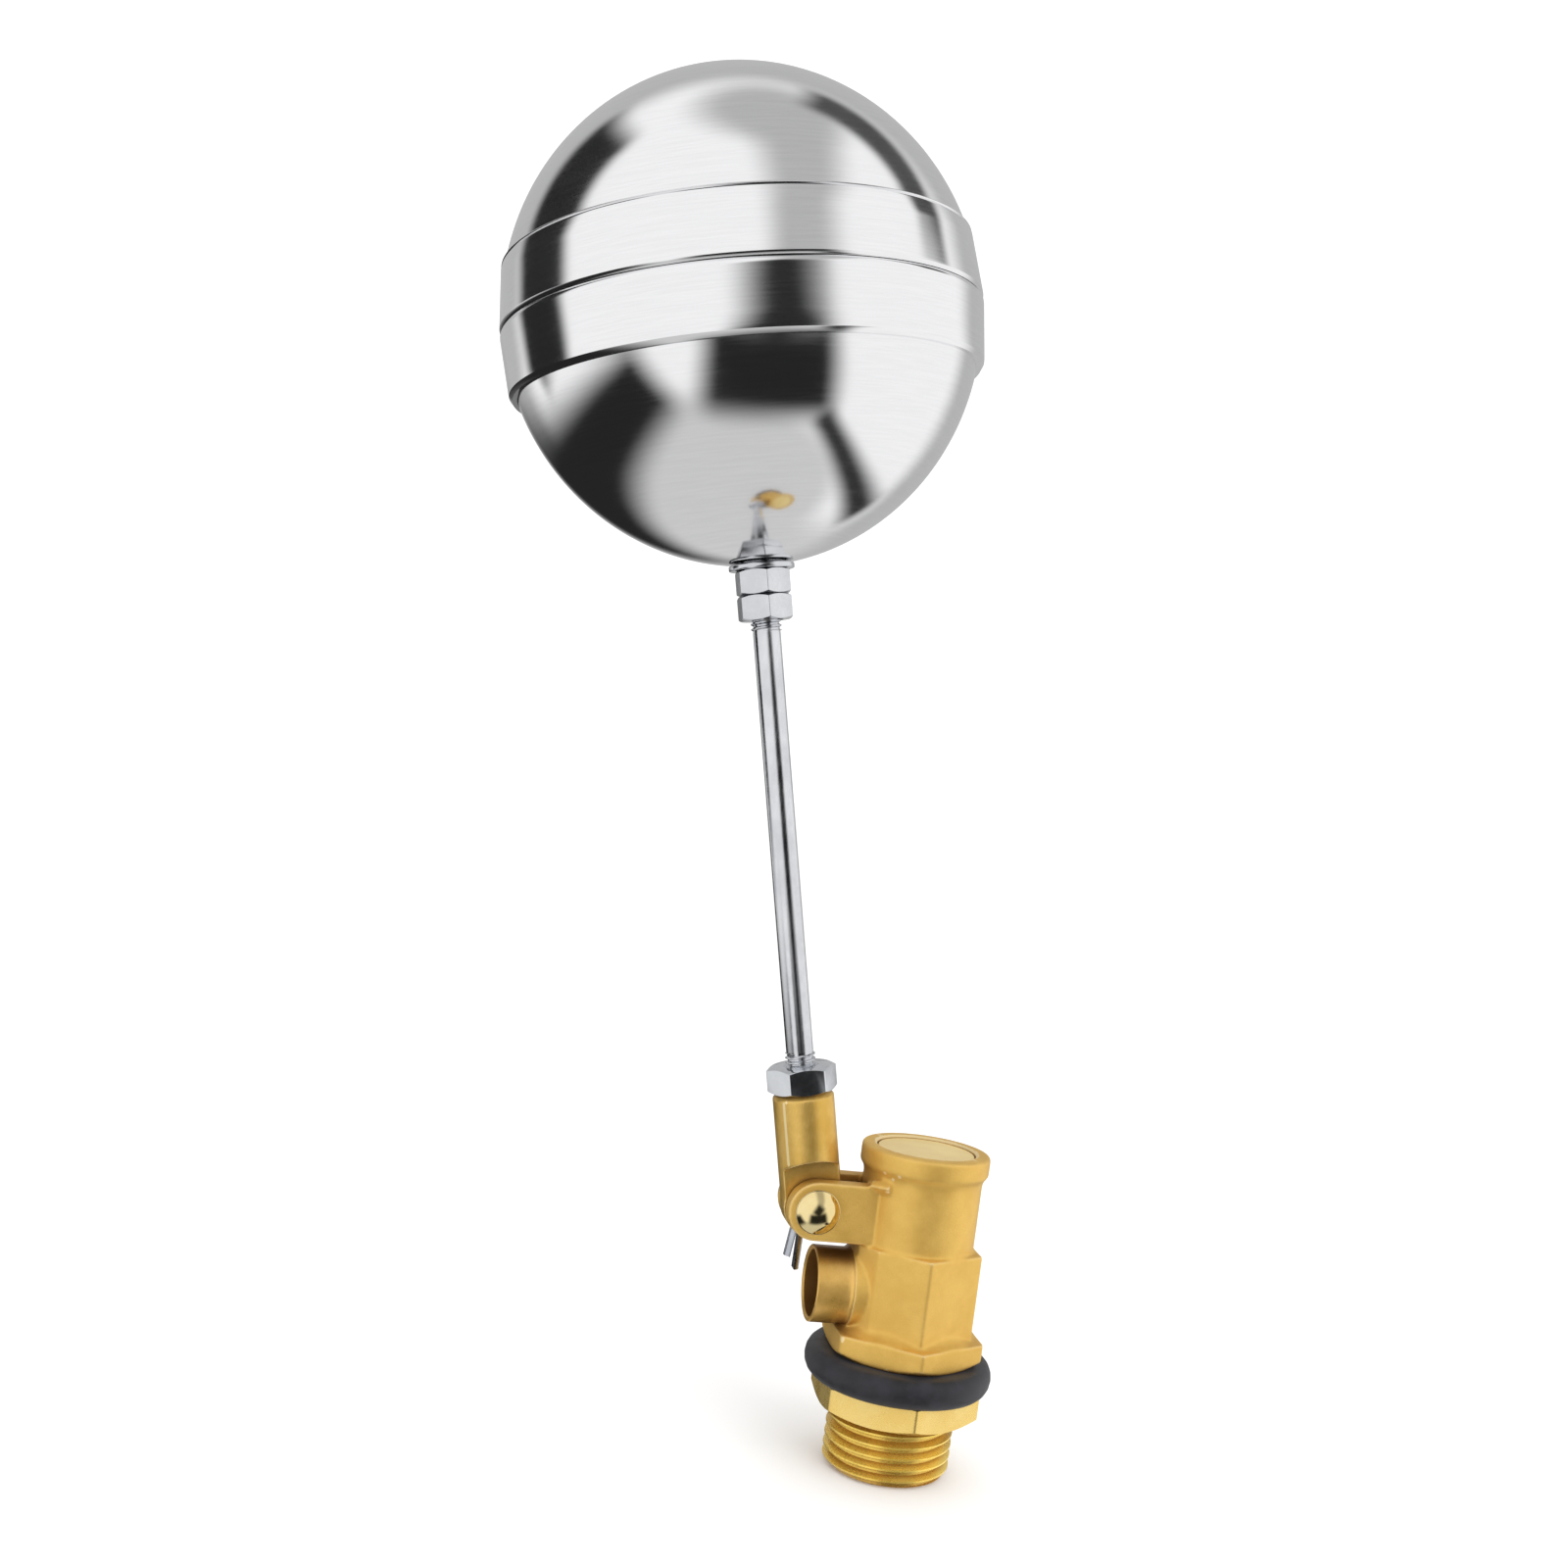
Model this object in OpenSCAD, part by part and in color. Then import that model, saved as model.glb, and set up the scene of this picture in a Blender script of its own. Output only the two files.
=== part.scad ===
// Float valve: a brass valve body for a tank wall, with a piston that a float on a lever arm closes.
// Origin: centre of the inlet thread's end face. +Z runs up the body's axis. The outlet points to -X.
// Shown with the float hanging out at the open stop.

/* [Inlet thread and lock nut] */
// Major diameter of the parallel pipe thread G 1/2
thread_d = 20.955; // [20.9:0.005:21]
// Length of thread that shows below the lock nut
thread_free = 9.4; // [8:0.1:9.5]
// Height of the lock nut's lower face
nut_z = 10; // [9.8:0.1:10.2]
// Thickness of the lock nut
nut_h = 4.6; // [4.2:0.1:4.6]
// Width of the lock nut across its flats
nut_af = 25; // [24:0.5:27]
// Running clearance between the lock nut and the thread
nut_gap = 0.06; // [0.03:0.01:0.1]

/* [Rubber washer] */
// Outer diameter of the rubber washer
washer_d = 31; // [29:0.5:33]
// Thickness of the rubber washer
washer_h = 4.8; // [4.6:0.1:4.8]

/* [Valve body] */
// Height of the flange's lower face
flange_z = 19.4; // [19.4:0.1:19.6]
// Thickness of the hexagonal flange
flange_h = 4; // [3.5:0.1:4.2]
// Width of the flange across its flats
flange_af = 24; // [23:0.5:26]
// Width of the upper hexagon across its flats
hex_af = 20.3; // [19.5:0.1:21]
// Height at which the upper hexagon ends
hex_top = 37.6; // [37.4:0.1:37.7]
// Outer diameter of the round barrel
barrel_d = 19.6; // [19.4:0.1:20]
// Outer diameter of the lip round the open end
lip_d = 21.3; // [21.3:0.1:21.8]
// Height of the open end
body_top = 53.4; // [53.2:0.1:54]
// Diameter of the barrel's bore
bore_d = 16.4; // [16:0.1:16.6]
// Height of the chamber's floor
floor_z = 23.5; // [23.2:0.1:23.8]

/* [Seat and inlet] */
// Diameter of the seat's opening
orifice_d = 6.4; // [5:0.1:7]
// Height of the seat's lip
seat_z = 25; // [24.6:0.1:25]
// Diameter of the inlet's bore
inlet_d = 15; // [13:0.5:15.5]

/* [Outlet tube] */
// Outer diameter of the outlet tube
tube_d = 12.4; // [12:0.1:12.6]
// Inner diameter of the outlet tube
tube_bore = 10.8; // [10:0.1:11]
// Height of the tube's axis
tube_z = 29.5; // [29.4:0.1:29.7]
// Distance from the body's axis to the tube's mouth
tube_reach = 16.6; // [15:0.1:18]

/* [Clevis and pivot] */
// Distance from the body's axis to the pivot
pivot_x = 18; // [17.8:0.1:18.2]
// Height of the pivot
pivot_z = 42.5; // [42.4:0.1:42.6]
// Diameter of the pivot pin
pin_d = 5; // [4.8:0.1:5]
// Diameter of the pivot pin's domed head
head_d = 7.2; // [6.8:0.1:7.6]
// Radius of the rounded ends of the ears
ear_r = 4.8; // [4.6:0.1:4.9]
// Width over both ears
clevis_w = 10.5; // [10:0.1:11]
// Gap between the ears
clevis_gap = 4.7; // [4.6:0.1:4.8]

/* [Lever] */
// Lean of the float arm away from the body's axis, with the valve open
arm_lean = 12.2; // [11.6:0.1:13]
// Diameter of the lever's socket
socket_d = 10; // [9.6:0.1:10.2]
// Distance from the pivot to the socket's top
socket_top = 18.8; // [18:0.1:20]
// Thickness of the lever's flat tongue and finger
tongue_t = 4.2; // [4:0.1:4.3]
// Radius of the cut that clears the ears
relief_r = 8; // [7.6:0.1:8.2]
// Radius of the finger's round tip
tip_r = 2.75; // [2.6:0.01:2.75]
// Angle of the finger above level, with the valve open
finger_rise = 6.3; // [6:0.1:6.4]

/* [Float rod] */
// Diameter of the rod's plain shank, as left by rolling an M5 thread
rod_d = 4.4; // [4.2:0.1:4.6]
// Outer diameter of the rod's threaded ends
rod_thread_d = 4.9; // [4.8:0.05:4.95]
// Width across the flats of the nut on the lever
jam_af = 10; // [9:0.5:11]
// Height of the nut on the lever
jam_h = 4.2; // [3.8:0.1:5]
// Width across the flats of the two nuts at the float
float_nut_af = 8; // [7.8:0.1:8.5]
// Height of each nut at the float
float_nut_h = 3.9; // [3.6:0.1:4]

/* [Float] */
// Diameter of the float over its raised belt
float_d = 74.8; // [72:0.2:78]
// How far the belt stands out from the ball at the seam
belt_step = 0.4; // [0.2:0.05:0.4]
// How much the belt's radius falls from the seam to its upper edge
belt_fall = 1.2; // [0.6:0.05:1.3]
// How much the belt's radius falls from the seam to its lower edge
belt_fall_low = 0.6; // [0.3:0.05:1]
// Half the height of the belt
belt_half = 10; // [8:0.5:12]
// Thickness of the pressed sheet
sheet_t = 0.5; // [0.45:0.05:0.7]
// Distance from the pivot to the float's centre
float_reach = 140; // [138:0.5:150]

/* [Piston] */
// Running clearance between the piston and its bore
piston_gap = 0.1; // [0.05:0.01:0.1]
// Lift of the seat washer above the seat, with the valve open
lift = 4; // [3.98:0.01:4.1]

/* [Split pin] */
// Diameter of the split pin's two legs together
split_d = 2.2; // [1.8:0.1:2.2]

/* [Hidden] */
$fn = 96;
eps = 0.01;

groove_w = 0.4;                            // thread run-out groove under the lock nut
port_d = tube_bore - 0.4;                  // step that the tube butts against
relief_x = flange_af / 2 + 0.1;             // where the tube's full diameter ends
root_d = tube_d - 0.4;                     // tube's end, turned down to seat in the body
stem_d = thread_d - 0.36;                  // thread under the lock nut and washer, a little smaller
boss_d = tube_d + 1;                       // raised ring at the tube's root
boss_x = hex_af / 2 + 0.5;                 // outer face of that ring
pad_w = 13.4;                              // flat pad that the tube stands on, beside the hexagon
pad_x = hex_af / 2 + 0.1;
window_low = 38.9;                         // slot through the barrel for the finger
window_high = 45.9;
piston_d = bore_d - 2 * piston_gap;
piston_top = body_top - 0.4;
face_z = seat_z + lift;                    // seat washer's sealing face, valve open
cap_low = face_z + 0.4;
clamp_z = face_z + 1.6;                    // where the washer's flange starts
spigot_z = face_z + 3.2;                   // lower end of the piston's own metal
shoulder_z = face_z + 6.4;
finger_len = pivot_x;
tip_z = pivot_z + finger_len * sin(finger_rise);
slot_half = tip_r + 0.15;
washer_y = clevis_w / 2;                   // far face of the far ear
split_y = washer_y + 2.1;
pin_end_y = washer_y + 4;
float_r = float_d / 2;
ball_r = float_r - belt_step;
float_low = float_reach - ball_r;
bush_face = float_low + 0.05;
float_washer_t = 0.8;
seam_gap = 0.1;                            // between the two halves, along the weld
upper_nut_s = bush_face - float_washer_t - float_nut_h;
lower_nut_s = upper_nut_s - float_nut_h - 0.1;
rod_start = 9.6;
rod_end = float_low + 6;

brass_cast = "#d3a95c";
brass_turned = "#e0bd62";
steel = "#b9bcc0";
plated = "#9da2a8";

// A hexagonal prism with its corners at 30, 90, 150... degrees.
module hex_prism(af, h) {
    rotate([0, 0, 30])
        cylinder(r = af / sqrt(3), h = h, $fn = 6);
}

// The solid that rounds a hexagon's corners by a 30 degree turned chamfer, at one or both ends.
module turned_chamfer(af, h, low = true, high = true) {
    r = af / sqrt(3) + 0.05;
    face = af / 2 - 0.1;
    drop = (r - face) * tan(30);
    rotate_extrude()
        polygon([
            [0, 0], [low ? face : r, 0], [r, low ? drop : 0],
            [r, high ? h - drop : h], [high ? face : r, h], [0, h]
        ]);
}

module chamfered_hex(af, h, low = true, high = true) {
    intersection() {
        hex_prism(af, h);
        turned_chamfer(af, h, low, high);
    }
}

module hex_nut(af, h, hole_d) {
    difference() {
        chamfered_hex(af, h);
        translate([0, 0, -1])
            cylinder(d = hole_d, h = h + 2);
    }
}

// The pivot's frame, turned so that its Z runs up the float arm.
module arm_frame() {
    translate([-pivot_x, 0, pivot_z])
        rotate([0, -arm_lean, 0])
            children();
}

// The pivot's frame, turned so that its X runs out along the finger.
module finger_frame() {
    translate([-pivot_x, 0, pivot_z])
        rotate([0, -finger_rise, 0])
            children();
}

// A round bar along Y through the pivot.
module across(d, from, to) {
    translate([-pivot_x, to, pivot_z])
        rotate([90, 0, 0])
            cylinder(d = d, h = to - from);
}

module ear(side) {
    from = side > 0 ? clevis_gap / 2 : -clevis_w / 2;
    thick = (clevis_w - clevis_gap) / 2;
    across(2 * ear_r, from, from + thick);
    translate([-pivot_x, from, pivot_z - ear_r])
        cube([pivot_x - bore_d / 2 + 1, thick, 2 * ear_r]);
}

module valve_body() {
    color(brass_cast)
    difference() {
        union() {
            cylinder(d = thread_d, h = thread_free);
            cylinder(d = thread_d - 2, h = flange_z);
            translate([0, 0, thread_free + groove_w])
                cylinder(d = stem_d, h = flange_z - thread_free - groove_w + 1);
            translate([0, 0, flange_z])
                chamfered_hex(flange_af, flange_h, true, false);
            translate([0, 0, flange_z + flange_h - eps])
                cylinder(d1 = flange_af, d2 = hex_af, h = 1.4);
            translate([0, 0, flange_z + 1])
                linear_extrude(hex_top - flange_z - 1) {
                    rotate(30)
                        circle(r = hex_af / sqrt(3), $fn = 6);
                    translate([-pad_x, -pad_w / 2])
                        square([pad_x, pad_w]);
                }
            translate([0, 0, hex_top - 1.5])
                cylinder(d = barrel_d, h = body_top - hex_top + 1.5);
            translate([0, 0, body_top - 3.4])
                cylinder(d = lip_d, h = 3.4);
            translate([0, 0, body_top - 4.6])
                cylinder(d1 = barrel_d, d2 = lip_d, h = 1.2 + eps);
            translate([-boss_x, 0, tube_z])
                rotate([0, 90, 0])
                    cylinder(d = boss_d, h = boss_x - bore_d / 2);
            for (side = [-1, 1])
                ear(side);
        }
        // inlet, seat and chamber
        translate([0, 0, -1])
            cylinder(d = inlet_d, h = flange_z + 1);
        translate([0, 0, flange_z - eps])
            cylinder(d1 = inlet_d, d2 = orifice_d, h = 1.6);
        cylinder(d = orifice_d, h = body_top);
        difference() {
            translate([0, 0, floor_z])
                cylinder(d = bore_d, h = body_top);
            translate([0, 0, floor_z - 1])
                cylinder(d = orifice_d + 2.4, h = seat_z - floor_z + 1);
        }
        // outlet port
        translate([-tube_reach, 0, tube_z])
            rotate([0, 90, 0])
                cylinder(d = root_d + 0.06, h = tube_reach - bore_d / 2 - 0.1);
        translate([-tube_reach, 0, tube_z])
            rotate([0, 90, 0])
                cylinder(d = port_d, h = tube_reach - bore_d / 2 + 3);
        // window for the finger, and the pin's holes
        translate([-bore_d, -clevis_gap / 2, window_low])
            cube([bore_d - bore_d / 2 + 1, clevis_gap, window_high - window_low]);
        across(pin_d, -clevis_w, clevis_w);
    }
}

module outlet_tube() {
    color(brass_turned)
    translate([-tube_reach, 0, tube_z])
        rotate([0, 90, 0])
            difference() {
                union() {
                    cylinder(d = tube_d, h = tube_reach - relief_x);
                    cylinder(d = root_d, h = tube_reach - bore_d / 2 - 0.1);
                }
                translate([0, 0, -1])
                    cylinder(d = tube_bore, h = tube_reach);
            }
}

module sealing_washer() {
    round_r = 1.6;
    inner = stem_d / 2;
    outer = washer_d / 2;
    color("#33343c")
    translate([0, 0, nut_z + nut_h])
        rotate_extrude() {
            translate([inner, 0])
                square([outer - round_r - inner, washer_h]);
            translate([inner, round_r])
                square([outer - inner, washer_h - 2 * round_r]);
            for (z = [round_r, washer_h - round_r])
                translate([outer - round_r, z])
                    circle(r = round_r);
        }
}

module lock_nut() {
    color(brass_turned)
    translate([0, 0, nut_z])
        difference() {
            chamfered_hex(nut_af, nut_h, true, false);
            translate([0, 0, -1])
                cylinder(d = thread_d + 2 * nut_gap, h = nut_h + 2);
        }
}

module piston() {
    color(brass_turned)
    difference() {
        union() {
            translate([0, 0, spigot_z])
                cylinder(d = 12.9, h = 5);
            translate([0, 0, shoulder_z])
                cylinder(d = piston_d, h = piston_top - shoulder_z);
        }
        translate([-bore_d, -clevis_gap / 2 - 0.1, tip_z - slot_half])
            cube([bore_d + tip_r + 0.6, clevis_gap + 0.2, 2 * slot_half]);
    }
}

module piston_cap() {
    color(brass_turned)
    difference() {
        translate([0, 0, cap_low])
            cylinder(d = piston_d - 0.4, h = shoulder_z - cap_low);
        translate([0, 0, cap_low - 1])
            cylinder(d = 9.8, h = 5);
        translate([0, 0, clamp_z])
            cylinder(d = 13, h = 10);
    }
}

module seat_washer() {
    color("#1f1f21")
    union() {
        translate([0, 0, face_z])
            cylinder(d = 9.6, h = 2);
        translate([0, 0, clamp_z])
            cylinder(d = 12.8, h = spigot_z - clamp_z);
    }
}

// Domed head on the near side, shank through both ears, cross hole for the split pin.
module pivot_pin() {
    dome_h = 1.6;
    dome_r = (pow(head_d / 2, 2) + pow(dome_h, 2)) / (2 * dome_h);
    color(brass_turned)
    difference() {
        union() {
            across(pin_d, -clevis_w / 2 - eps, pin_end_y);
            intersection() {
                translate([-pivot_x, -clevis_w / 2 - dome_h + dome_r, pivot_z])
                    sphere(r = dome_r);
                across(head_d, -clevis_w / 2 - dome_h, -clevis_w / 2);
            }
        }
        translate([-pivot_x, split_y, pivot_z - 5])
            cylinder(d = split_d, h = 10);
    }
}

module pivot_washer() {
    color(plated)
    difference() {
        across(2 * ear_r - 0.4, washer_y, washer_y + 0.8);
        across(pin_d + 0.1, washer_y - 1, washer_y + 2);
    }
}

// Half-round leg of the split pin, hanging from the origin.
module split_leg(length, side) {
    intersection() {
        translate([0, 0, -length])
            cylinder(d = split_d, h = length + eps);
        translate([side > 0 ? 0.06 : -split_d, -split_d, -length - 1])
            cube([split_d - (side > 0 ? 0 : 0.06), 2 * split_d, length + 2]);
    }
}

module split_pin() {
    stem = pin_d / 2 + 0.4;
    color(plated)
    translate([-pivot_x, split_y, pivot_z]) {
        translate([0, 0, -stem])
            cylinder(d = split_d - 0.1, h = 2 * stem + 0.6);
        // the eye, over the stem
        translate([0, 0, stem + 1.7])
            rotate([90, 0, 0])
                rotate_extrude()
                    translate([1.35, 0])
                        circle(d = 1.1);
        // the two legs, one longer, spread under the pin
        translate([0, 0, -stem + 0.3])
            rotate([0, 14, 0])
                split_leg(8.6, -1);
        translate([0, 0, -stem + 0.3])
            rotate([0, 4, 0])
                split_leg(10.6, 1);
    }
}

// Socket for the rod, flat tongue between the ears, and the finger that works the piston.
module lever() {
    half_t = tongue_t / 2;
    color(brass_cast)
    difference() {
        union() {
            arm_frame()
                difference() {
                    union() {
                        cylinder(d = socket_d, h = socket_top - 0.8);
                        translate([0, 0, socket_top - 0.8])
                            cylinder(d1 = socket_d, d2 = socket_d - 1.6, h = 0.8);
                    }
                    for (side = [-1, 1])
                        translate([0, side * (half_t + 5), 0])
                            rotate([90, 0, 0])
                                cylinder(r = relief_r, h = 10, center = true);
                }
            arm_frame() {
                rotate([90, 0, 0])
                    cylinder(d = socket_d, h = tongue_t, center = true);
                translate([-socket_d / 2 + 0.4, -half_t, 0])
                    cube([socket_d - 0.8, tongue_t, relief_r + 1]);
            }
            finger_frame() {
                rotate([90, 0, 0])
                    linear_extrude(height = tongue_t, center = true)
                        polygon([
                            [0, -3.2], [5, -3.2], [9, -2], [finger_len, -2],
                            [finger_len, 2], [9, 2], [5, 3.2], [0, 3.2]
                        ]);
                translate([finger_len, 0, 0])
                    rotate([90, 0, 0])
                        cylinder(r = tip_r, h = tongue_t, center = true);
            }
        }
        across(pin_d + 0.1, -clevis_w, clevis_w);
        arm_frame()
            translate([0, 0, rod_start - 0.4])
                cylinder(d = rod_thread_d + 0.1, h = socket_top);
    }
}

module lever_jam_nut() {
    color(plated)
    arm_frame()
        translate([0, 0, socket_top])
            rotate([0, 0, 30])
                hex_nut(jam_af, jam_h, rod_thread_d + 0.1);
}

module float_rod() {
    plain_start = socket_top + jam_h + 2.4;
    plain_end = lower_nut_s - 2;
    color(steel)
    arm_frame() {
        translate([0, 0, rod_start])
            cylinder(d = rod_thread_d, h = plain_start - rod_start);
        translate([0, 0, plain_start - eps])
            cylinder(d = rod_d, h = plain_end - plain_start + 2 * eps);
        translate([0, 0, plain_end])
            cylinder(d = rod_thread_d, h = rod_end - plain_end);
    }
}

module float_nuts() {
    color(steel)
    arm_frame()
        for (s = [lower_nut_s, upper_nut_s])
            translate([0, 0, s])
                hex_nut(float_nut_af, float_nut_h, rod_thread_d + 0.1);
}

module float_washer() {
    color(steel)
    arm_frame()
        translate([0, 0, bush_face - float_washer_t])
            difference() {
                cylinder(d = 10.4, h = float_washer_t);
                translate([0, 0, -1])
                    cylinder(d = rod_thread_d + 0.2, h = 3);
            }
}

// Blind threaded bush in the bottom of the float.
module float_bush() {
    color(steel)
    arm_frame()
        translate([0, 0, bush_face])
            difference() {
                union() {
                    cylinder(d = 7.6, h = 9);
                    translate([0, 0, 0.8])
                        cylinder(d = 10.6, h = 1.2);
                }
                translate([0, 0, -1])
                    cylinder(d = rod_thread_d + 0.1, h = 7.5);
            }
}

// The belt's tapered collar below the seam, grown or shrunk by a distance.
module belt_collar(grow, fall) {
    translate([0, 0, -belt_half])
        cylinder(
            r1 = float_r - fall + grow, r2 = float_r + grow,
            h = belt_half, $fn = 180
        );
}

// A pressed half of the ball, opening upwards, with the raised belt at its rim.
module pressed_half(fall) {
    difference() {
        union() {
            difference() {
                sphere(r = ball_r, $fn = 180);
                translate([0, 0, -belt_half + eps])
                    cylinder(r = float_r + 1, h = float_r * 2);
            }
            belt_collar(0, fall);
        }
        difference() {
            sphere(r = ball_r - sheet_t, $fn = 180);
            translate([0, 0, -belt_half + sheet_t])
                cylinder(r = float_r + 1, h = float_r * 2);
        }
        intersection() {
            belt_collar(-sheet_t, fall);
            translate([0, 0, -belt_half + sheet_t])
                cylinder(r = float_r + 1, h = belt_half);
        }
        translate([0, 0, float_r + 1 - seam_gap / 2])
            cube(2 * float_r + 2, center = true);
    }
}

module float_lower_shell() {
    color(steel)
    arm_frame()
        difference() {
            translate([0, 0, float_reach])
                pressed_half(belt_fall_low);
            translate([0, 0, float_low - 1])
                cylinder(d = 7.6, h = 4);
            translate([0, 0, bush_face + 0.8])
                cylinder(d = 10.6, h = 1.2);
        }
}

module float_upper_shell() {
    color(steel)
    arm_frame()
        translate([0, 0, float_reach])
            rotate([180, 0, 0])
                pressed_half(belt_fall);
}

valve_body();
outlet_tube();
sealing_washer();
lock_nut();
piston();
piston_cap();
seat_washer();
pivot_pin();
pivot_washer();
split_pin();
lever();
lever_jam_nut();
float_rod();
float_nuts();
float_washer();
float_bush();
float_lower_shell();
float_upper_shell();
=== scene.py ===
import math

import bpy
from mathutils import Matrix, Vector


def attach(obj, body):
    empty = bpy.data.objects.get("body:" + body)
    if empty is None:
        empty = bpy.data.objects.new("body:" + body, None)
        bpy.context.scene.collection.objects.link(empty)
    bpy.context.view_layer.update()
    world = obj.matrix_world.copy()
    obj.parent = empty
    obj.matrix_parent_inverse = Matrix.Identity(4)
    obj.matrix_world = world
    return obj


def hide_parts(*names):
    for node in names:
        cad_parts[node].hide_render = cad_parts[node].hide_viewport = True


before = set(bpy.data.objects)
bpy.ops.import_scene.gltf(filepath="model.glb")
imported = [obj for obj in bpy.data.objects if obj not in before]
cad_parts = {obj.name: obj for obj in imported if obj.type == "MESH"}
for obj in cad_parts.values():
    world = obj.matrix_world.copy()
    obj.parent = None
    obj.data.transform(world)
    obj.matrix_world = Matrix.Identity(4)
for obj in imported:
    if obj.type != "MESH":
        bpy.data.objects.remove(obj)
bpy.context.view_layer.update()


# Studio
# The valve stands on its thread on a pale floor. The room is white, with a few dark flags and
# grey boards whose soft reflections model the polished float and the brass.
mm = 0.001

view_turn = math.radians(-11.01)
view_rise = math.radians(2.68)
view_roll = math.radians(7.54)
view_distance = 262.04 * mm
view_centre = Vector((-28.13, 0, 96.36)) * mm

back = Vector((
    math.sin(view_turn) * math.cos(view_rise),
    -math.cos(view_turn) * math.cos(view_rise),
    math.sin(view_rise),
))
level_right = Vector((math.cos(view_turn), math.sin(view_turn), 0))
level_up = back.cross(level_right)
image_right = math.cos(view_roll) * level_right + math.sin(view_roll) * level_up
image_up = math.cos(view_roll) * level_up - math.sin(view_roll) * level_right

camera_lens = bpy.data.cameras.new("camera")
camera_lens.sensor_width = 36
camera_lens.lens = 37.58
camera_lens.shift_x = -0.0067
camera_lens.shift_y = 0.0539
camera_lens.clip_start = 0.01
camera_lens.clip_end = 50
camera = bpy.data.objects.new("camera", camera_lens)
bpy.context.scene.collection.objects.link(camera)
camera.matrix_world = (
    Matrix.Translation(view_centre + view_distance * back)
    @ Matrix((image_right, image_up, back)).transposed().to_4x4()
)
bpy.context.scene.camera = camera
bpy.context.scene.view_settings.view_transform = "Standard"


def math_node(tree, operation, first, second=0.0):
    node = tree.nodes.new("ShaderNodeMath")
    node.operation = operation
    for socket, value in zip(node.inputs, (first, second)):
        if isinstance(value, (int, float)):
            socket.default_value = value
        else:
            tree.links.new(value, socket)
    return node.outputs[0]


def ramp_node(tree, value, start, end, low, high, smooth=True):
    node = tree.nodes.new("ShaderNodeMapRange")
    node.interpolation_type = "SMOOTHSTEP" if smooth else "LINEAR"
    tree.links.new(value, node.inputs["Value"])
    node.inputs["From Min"].default_value = start
    node.inputs["From Max"].default_value = end
    node.inputs["To Min"].default_value = low
    node.inputs["To Max"].default_value = high
    return node.outputs["Result"]


def dot_node(tree, vector, axis):
    node = tree.nodes.new("ShaderNodeVectorMath")
    node.operation = "DOT_PRODUCT"
    tree.links.new(vector, node.inputs[0])
    node.inputs[1].default_value = axis
    return node.outputs["Value"]


def room_axes(turn, rise, lean=0):
    """Ahead, side and top directions of something hung in the room; all angles are degrees."""
    turn, rise, lean = math.radians(turn), math.radians(rise), math.radians(lean)
    ahead = Vector((
        math.sin(turn) * math.cos(rise), -math.cos(turn) * math.cos(rise), math.sin(rise)))
    side = Vector((math.cos(turn), math.sin(turn), 0))
    top = ahead.cross(side)
    return (
        ahead,
        math.cos(lean) * side + math.sin(lean) * top,
        math.cos(lean) * top - math.sin(lean) * side,
    )


def soft_edge(tree, angle, half, edge):
    return ramp_node(tree, angle, math.radians(half - edge), math.radians(half + edge), 1, 0)


def cover(tree, under, mask, level):
    gap = math_node(tree, "SUBTRACT", level, under)
    return math_node(tree, "ADD", under, math_node(tree, "MULTIPLY", gap, mask))


def hang_board(tree, sight, under, turn, rise, lean, wide, tall, edge, level):
    """Covers part of the room with a soft-edged board of one brightness; wide and tall are half
    of its size, and edge is half of its soft rim. All angles are degrees."""
    ahead, side, top = room_axes(turn, rise, lean)
    across = math_node(tree, "ARCTAN2", dot_node(tree, sight, side), dot_node(tree, sight, ahead))
    along = math_node(tree, "ARCSINE", dot_node(tree, sight, top))
    mask = math_node(
        tree, "MULTIPLY",
        soft_edge(tree, math_node(tree, "ABSOLUTE", across), wide, edge),
        soft_edge(tree, math_node(tree, "ABSOLUTE", along), tall, edge))
    return cover(tree, under, mask, level)


def hang_disc(tree, sight, under, turn, rise, wide, edge, level):
    """Covers part of the room with a soft-edged disc of one brightness; wide is its radius."""
    ahead = room_axes(turn, rise)[0]
    angle = math_node(tree, "ARCCOSINE", dot_node(tree, sight, ahead))
    return cover(tree, under, soft_edge(tree, angle, wide, edge), level)


room = bpy.data.worlds.new("white_room")
bpy.context.scene.world = room
room.use_nodes = True
tree = room.node_tree
tree.nodes.clear()
sight_line = tree.nodes.new("ShaderNodeTexCoord").outputs["Generated"]
brightness = tree.nodes.new("ShaderNodeValue").outputs[0]
brightness.default_value = 1.0
for hang, lie, level in (
    (hang_disc, (173, 15, 52, 10), 0.5),               # grey far wall
    (hang_disc, (0, 90, 19, 8), 0.5),                  # grey ceiling
    (hang_board, (19, 54, -8, 14, 40, 8), 0.5),        # grey board over the camera
    (hang_board, (-117, 18, 8, 17, 33, 5), 0.02),      # left flag
    (hang_disc, (180, -46, 32, 9), 0.66),              # table behind
    (hang_disc, (0, -90, 42, 7), 0.66),                # table below
    (hang_board, (-130, -39, -24, 57, 16, 8), 0.02),   # low left flag
    (hang_board, (8, 0, -30, 17, 20, 9), 0.02),        # camera
    (hang_board, (12, -33, 14, 31, 20, 8), 0.02),      # camera stand
    (hang_board, (98, -42, 14, 36, 5, 4), 0.03),       # table's edge
    (hang_board, (112, 55, -31, 9, 23, 4), 0.08),      # right flag
):
    brightness = hang(tree, sight_line, brightness, *lie, level)
boards_light = tree.nodes.new("ShaderNodeBackground")
tree.links.new(brightness, boards_light.inputs["Color"])
even_light = tree.nodes.new("ShaderNodeBackground")
even_light.inputs["Color"].default_value = (1, 1, 1, 1)
even_light.inputs["Strength"].default_value = 1.15
ray = tree.nodes.new("ShaderNodeLightPath")
choose_light = tree.nodes.new("ShaderNodeMixShader")
tree.links.new(ray.outputs["Is Glossy Ray"], choose_light.inputs[0])
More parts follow.
